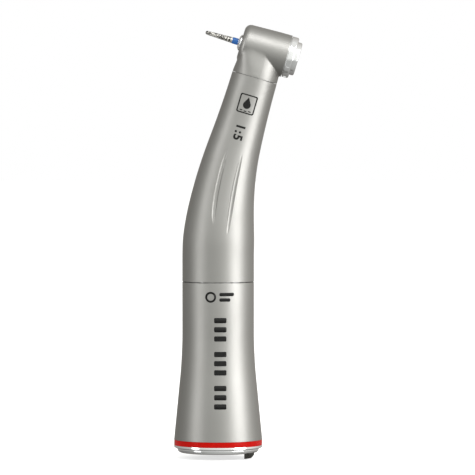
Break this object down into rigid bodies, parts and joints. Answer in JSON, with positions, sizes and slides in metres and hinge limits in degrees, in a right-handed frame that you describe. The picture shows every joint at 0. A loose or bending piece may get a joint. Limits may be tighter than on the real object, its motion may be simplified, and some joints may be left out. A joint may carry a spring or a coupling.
{
  "type": "contra angle handpiece",
  "caption": "Speed increasing contra angle dental handpiece: bent neck, mini head with push button and friction grip bur, and a rear bore that slides onto a motor.",
  "frame": {"origin": "centre of the rear face, at the mouth of the coupling bore", "axes": "+Z along the rear axis towards the head, +X towards the side the neck leans to and the push button faces; the bur points to -X"},
  "size_m": [0.0282, 0.0194, 0.0951],
  "materials": {
    "satin_titanium": "satin blasted and coated",
    "speed_code_red": "gloss coloured ring",
    "polished_steel": "polished",
    "dark_key": "moulded, dark",
    "machined_steel": "turned",
    "hardened_gear_steel": "ground and hardened",
    "bearing_steel": "ground and polished",
    "cage_resin": "moulded resin",
    "spring_steel": "drawn wire",
    "tube_steel": "drawn tube",
    "seal_rubber": "moulded",
    "bur_steel": "ground",
    "grit_code_blue": "gloss painted",
    "diamond_grit": "bonded diamond grit in nickel"
  },
  "bodies": {
    "casing": {"neck_sleeve": "satin_titanium", "grip_sleeve": "satin_titanium", "colour_ring": "speed_code_red", "end_ring": "polished_steel", "index_key": "dark_key", "coupling_sleeve": "machined_steel", "head_housing": "satin_titanium", "head_o_ring": "seal_rubber", "head_cap": "polished_steel", "front_cover": "polished_steel", "bearing_carrier": "machined_steel", "grip_o_ring": "seal_rubber", "bearing_circlip": "spring_steel", "bend_frame": "machined_steel", "shaft_tube": "machined_steel", "water_tube": "tube_steel", "air_tube": "tube_steel", "spindle_front_outer_race": "bearing_steel", "spindle_rear_outer_race": "bearing_steel", "neck_front_outer_race": "bearing_steel", "neck_rear_outer_race": "bearing_steel", "rear_shaft_low_outer_race": "bearing_steel", "rear_shaft_high_outer_race": "bearing_steel"},
    "rear_drive": {"drive_dog": "machined_steel", "rear_shaft": "machined_steel", "ring_gear": "hardened_gear_steel", "rear_shaft_low_inner_race": "bearing_steel", "rear_shaft_high_inner_race": "bearing_steel"},
    "neck_drive": {"neck_pinion": "hardened_gear_steel", "neck_shaft": "machined_steel", "crown_gear": "hardened_gear_steel", "neck_front_inner_race": "bearing_steel", "neck_rear_inner_race": "bearing_steel"},
    "spindle": {"spindle_barrel": "machined_steel", "spindle_pinion": "hardened_gear_steel", "chuck_collet": "machined_steel", "spindle_front_inner_race": "bearing_steel", "spindle_rear_inner_race": "bearing_steel"},
    "plunger": {"release_plunger": "machined_steel"},
    "bur": {"bur_shank": "bur_steel", "bur_grit_band": "grit_code_blue", "bur_diamond_head": "diamond_grit"},
    "button": {"push_button": "polished_steel", "button_spring": "spring_steel"},
    "rear_low_ball_set": {"rear_shaft_low_cage": "cage_resin", "rear_shaft_low_balls": "bearing_steel"},
    "rear_high_ball_set": {"rear_shaft_high_cage": "cage_resin", "rear_shaft_high_balls": "bearing_steel"},
    "neck_rear_ball_set": {"neck_rear_cage": "cage_resin", "neck_rear_balls": "bearing_steel"},
    "neck_front_ball_set": {"neck_front_cage": "cage_resin", "neck_front_balls": "bearing_steel"},
    "spindle_front_ball_set": {"spindle_front_cage": "cage_resin", "spindle_front_balls": "bearing_steel"},
    "spindle_rear_ball_set": {"spindle_rear_cage": "cage_resin", "spindle_rear_balls": "bearing_steel"}
  },
  "joints": [
    {"name": "rear_shaft_spin", "type": "hinge", "parent": "casing", "child": "rear_drive", "pos_m": [0, 0, 0], "axis": [0, 0, 1], "continuous": true},
    {"name": "neck_shaft_spin", "type": "hinge", "parent": "casing", "child": "neck_drive", "pos_m": [0.00987, 0, 0.08868], "axis": [0.284, 0, 0.9588], "continuous": true},
    {"name": "spindle_spin", "type": "hinge", "parent": "casing", "child": "spindle", "pos_m": [0.00987, 0, 0.08868], "axis": [0.9588, 0, -0.284], "continuous": true},
    {"name": "bur_release", "type": "slide", "parent": "spindle", "child": "bur", "axis": [-0.9588, 0, 0.284], "range_m": [0, 0.014]},
    {"name": "button_press", "type": "slide", "parent": "casing", "child": "button", "axis": [-0.9588, 0, 0.284], "range_m": [0, 0.0007], "stiffness_N_per_m": 12000, "springref_m": -0.0004, "deforming": ["button_spring"]},
    {"name": "plunger_push", "type": "slide", "parent": "spindle", "child": "plunger", "axis": [-0.9588, 0, 0.284], "range_m": [0, 0.000525]},
    {"name": "rear_low_balls_spin", "type": "hinge", "parent": "casing", "child": "rear_low_ball_set", "pos_m": [0, 0, 0], "axis": [0, 0, 1], "continuous": true},
    {"name": "rear_high_balls_spin", "type": "hinge", "parent": "casing", "child": "rear_high_ball_set", "pos_m": [0, 0, 0], "axis": [0, 0, 1], "continuous": true},
    {"name": "neck_rear_balls_spin", "type": "hinge", "parent": "casing", "child": "neck_rear_ball_set", "pos_m": [0.00987, 0, 0.08868], "axis": [0.284, 0, 0.9588], "continuous": true},
    {"name": "neck_front_balls_spin", "type": "hinge", "parent": "casing", "child": "neck_front_ball_set", "pos_m": [0.00987, 0, 0.08868], "axis": [0.284, 0, 0.9588], "continuous": true},
    {"name": "spindle_front_balls_spin", "type": "hinge", "parent": "casing", "child": "spindle_front_ball_set", "pos_m": [0.00987, 0, 0.08868], "axis": [0.9588, 0, -0.284], "continuous": true},
    {"name": "spindle_rear_balls_spin", "type": "hinge", "parent": "casing", "child": "spindle_rear_ball_set", "pos_m": [0.00987, 0, 0.08868], "axis": [0.9588, 0, -0.284], "continuous": true}
  ],
  "couplings": [
    {"joint": "neck_shaft_spin", "follows": "rear_shaft_spin", "ratio": 3},
    {"joint": "spindle_spin", "follows": "rear_shaft_spin", "ratio": 5},
    {"joint": "rear_low_balls_spin", "follows": "rear_shaft_spin", "ratio": 0.38971},
    {"joint": "rear_high_balls_spin", "follows": "rear_shaft_spin", "ratio": 0.38971},
    {"joint": "neck_rear_balls_spin", "follows": "rear_shaft_spin", "ratio": 1.1154},
    {"joint": "neck_front_balls_spin", "follows": "rear_shaft_spin", "ratio": 1.1154},
    {"joint": "spindle_front_balls_spin", "follows": "rear_shaft_spin", "ratio": 2.0652},
    {"joint": "spindle_rear_balls_spin", "follows": "rear_shaft_spin", "ratio": 2.0349},
    {"joint": "plunger_push", "follows": "button_press", "ratio": 0.75}
  ]
}
